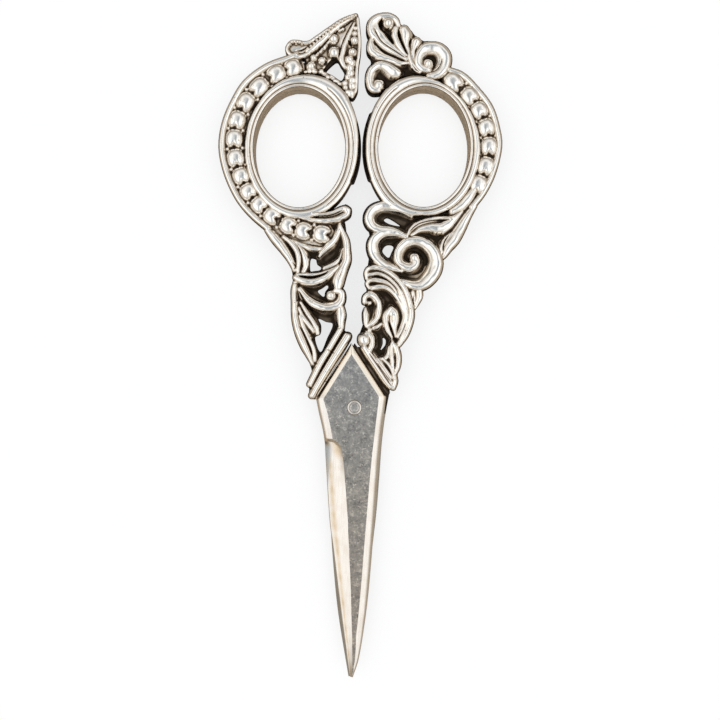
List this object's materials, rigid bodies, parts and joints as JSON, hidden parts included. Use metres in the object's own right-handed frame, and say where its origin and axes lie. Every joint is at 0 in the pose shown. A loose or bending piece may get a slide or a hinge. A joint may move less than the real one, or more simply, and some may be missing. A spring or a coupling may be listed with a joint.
{
  "type": "embroidery scissors",
  "caption": "Small embroidery scissors with slim hollow-ground steel blades on a flush rivet and ornate scrolled silver handles with oval finger rings.",
  "frame": {"origin": "on the rivet's axis, on the outer face of the rear blade", "axes": "+Z along the rivet towards the front of the scissors, +Y from the blade tips to the finger rings, +X to the right seen from the front"},
  "size_m": [0.0486, 0.1138, 0.0051],
  "materials": {
    "steel": "satin steel with fine scratches and bright ground chamfers",
    "silver": "antique silver, polished crowns and dark tarnish in the recesses",
    "cement": "dull brown setting cement"
  },
  "bodies": {
    "rear_half": {"rear_blade": "steel", "pivot_rivet": "steel", "right_handle_front_shell": "silver", "right_handle_back_shell": "silver", "right_tang_cement": "cement"},
    "front_half": {"front_blade": "steel", "left_handle_front_shell": "silver", "left_handle_back_shell": "silver", "left_tang_cement": "cement"}
  },
  "joints": [
    {"name": "pivot", "type": "hinge", "parent": "rear_half", "child": "front_half", "pos_m": [0, 0, 0.00173], "axis": [0, 0, 1], "range_deg": [0, 55]}
  ]
}
